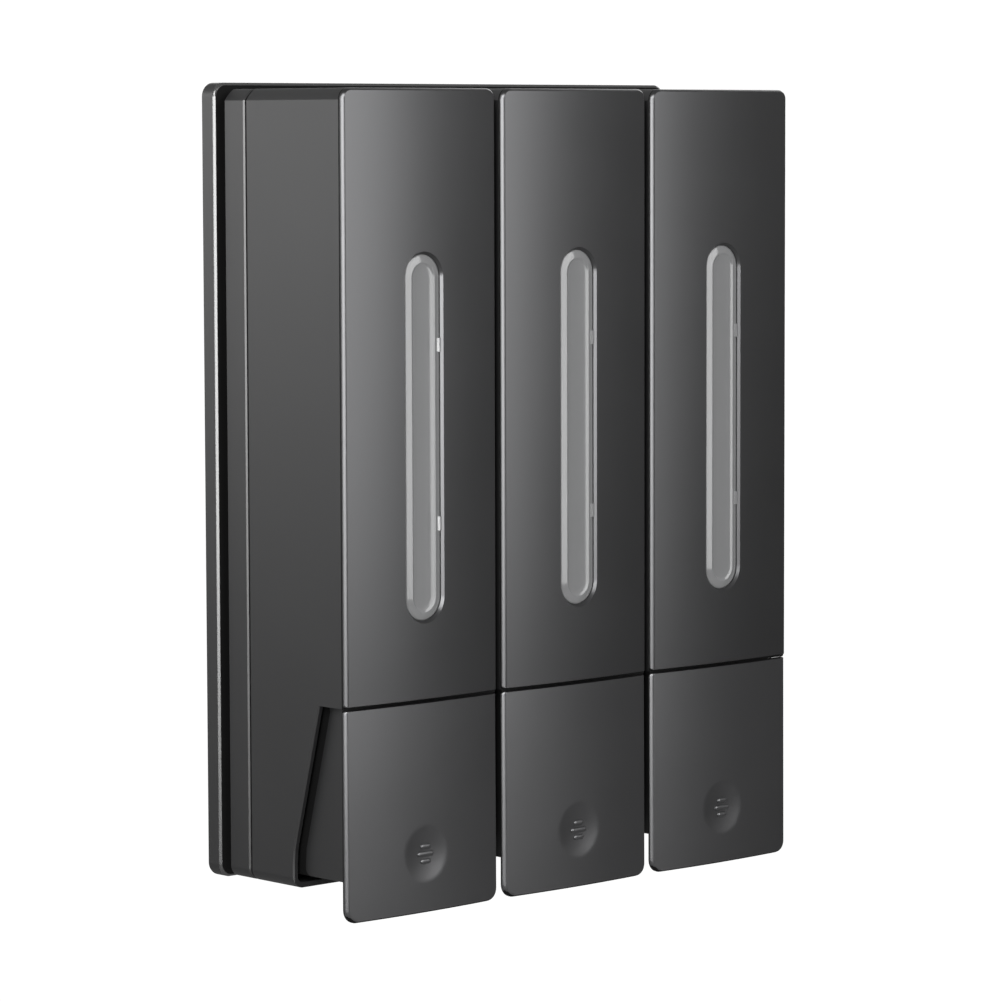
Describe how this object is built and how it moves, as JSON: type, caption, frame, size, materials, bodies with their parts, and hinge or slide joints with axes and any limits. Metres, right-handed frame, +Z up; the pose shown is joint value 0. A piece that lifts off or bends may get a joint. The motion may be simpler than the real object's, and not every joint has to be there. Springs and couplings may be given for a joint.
{
  "type": "wall mounted soap dispenser",
  "caption": "Wall-mounted manual soap dispenser with side-by-side refillable tanks behind slim dark metal panels, each with a level window and a push panel.",
  "frame": {"origin": "centre of the wall plate's back face, on the wall", "axes": "+Z up, +Y into the wall, the push panels face -Y, +X to the right of a person facing it"},
  "size_m": [0.19, 0.064, 0.247],
  "materials": {
    "satin_metal": "satin gun-metal",
    "dark_plastic": "fine matte texture",
    "plate_plastic": "satin",
    "clear_plastic": "clear, polished",
    "frosted_plastic": "translucent",
    "white_plastic": "moulded",
    "rubber": "soft silicone",
    "steel": "bright"
  },
  "bodies": {
    "root": {"wall_plate": "plate_plastic", "rear_shell_1": "dark_plastic", "housing_1": "dark_plastic", "front_panel_1": "satin_metal", "window_lens_1": "clear_plastic", "tank_1": "frosted_plastic", "tank_gasket_1": "rubber", "lid_pin_1": "steel", "lid_seal_1": "rubber", "lever_pin_1": "steel", "pump_body_1": "white_plastic", "inlet_valve_1": "rubber", "pump_spring_1": "steel", "nozzle_1": "dark_plastic", "unit_screw_1": "steel", "rear_shell_2": "dark_plastic", "housing_2": "dark_plastic", "front_panel_2": "satin_metal", "window_lens_2": "clear_plastic", "tank_2": "frosted_plastic", "tank_gasket_2": "rubber", "lid_pin_2": "steel", "lid_seal_2": "rubber", "lever_pin_2": "steel", "pump_body_2": "white_plastic", "inlet_valve_2": "rubber", "pump_spring_2": "steel", "nozzle_2": "dark_plastic", "unit_screw_2": "steel", "rear_shell_3": "dark_plastic", "housing_3": "dark_plastic", "front_panel_3": "satin_metal", "window_lens_3": "clear_plastic", "tank_3": "frosted_plastic", "tank_gasket_3": "rubber", "lid_pin_3": "steel", "lid_seal_3": "rubber", "lever_pin_3": "steel", "pump_body_3": "white_plastic", "inlet_valve_3": "rubber", "pump_spring_3": "steel", "nozzle_3": "dark_plastic", "unit_screw_3": "steel"},
    "lid_1": {"fill_lid_1": "dark_plastic"},
    "lever_1": {"push_lever_1": "dark_plastic", "push_panel_1": "satin_metal"},
    "piston_1": {"piston_1": "white_plastic", "piston_seal_1": "rubber"},
    "lid_2": {"fill_lid_2": "dark_plastic"},
    "lever_2": {"push_lever_2": "dark_plastic", "push_panel_2": "satin_metal"},
    "piston_2": {"piston_2": "white_plastic", "piston_seal_2": "rubber"},
    "lid_3": {"fill_lid_3": "dark_plastic"},
    "lever_3": {"push_lever_3": "dark_plastic", "push_panel_3": "satin_metal"},
    "piston_3": {"piston_3": "white_plastic", "piston_seal_3": "rubber"}
  },
  "joints": [
    {"name": "press_1", "type": "hinge", "parent": "root", "child": "lever_1", "pos_m": [-0.0632, -0.054, -0.056], "axis": [1, 0, 0], "range_deg": [0, 10], "stiffness_Nm_per_rad": 1.2, "springref_deg": -6.88},
    {"name": "pump_stroke_1", "type": "slide", "parent": "root", "child": "piston_1", "axis": [0, 1, 0], "range_m": [0, 0.00595], "deforming": ["pump_spring_1"]},
    {"name": "lid_1", "type": "hinge", "parent": "root", "child": "lid_1", "pos_m": [-0.0632, -0.024, 0.116], "axis": [-1, 0, 0], "range_deg": [0, 95]},
    {"name": "press_2", "type": "hinge", "parent": "root", "child": "lever_2", "pos_m": [0, -0.054, -0.056], "axis": [1, 0, 0], "range_deg": [0, 10], "stiffness_Nm_per_rad": 1.2, "springref_deg": -6.88},
    {"name": "pump_stroke_2", "type": "slide", "parent": "root", "child": "piston_2", "axis": [0, 1, 0], "range_m": [0, 0.00595], "deforming": ["pump_spring_2"]},
    {"name": "lid_2", "type": "hinge", "parent": "root", "child": "lid_2", "pos_m": [0, -0.024, 0.116], "axis": [-1, 0, 0], "range_deg": [0, 95]},
    {"name": "press_3", "type": "hinge", "parent": "root", "child": "lever_3", "pos_m": [0.0632, -0.054, -0.056], "axis": [1, 0, 0], "range_deg": [0, 10], "stiffness_Nm_per_rad": 1.2, "springref_deg": -6.88},
    {"name": "pump_stroke_3", "type": "slide", "parent": "root", "child": "piston_3", "axis": [0, 1, 0], "range_m": [0, 0.00595], "deforming": ["pump_spring_3"]},
    {"name": "lid_3", "type": "hinge", "parent": "root", "child": "lid_3", "pos_m": [0.0632, -0.024, 0.116], "axis": [-1, 0, 0], "range_deg": [0, 95]}
  ],
  "couplings": [
    {"joint": "pump_stroke_1", "follows": "press_1", "m_per_rad": 0.034},
    {"joint": "pump_stroke_2", "follows": "press_2", "m_per_rad": 0.034},
    {"joint": "pump_stroke_3", "follows": "press_3", "m_per_rad": 0.034}
  ]
}
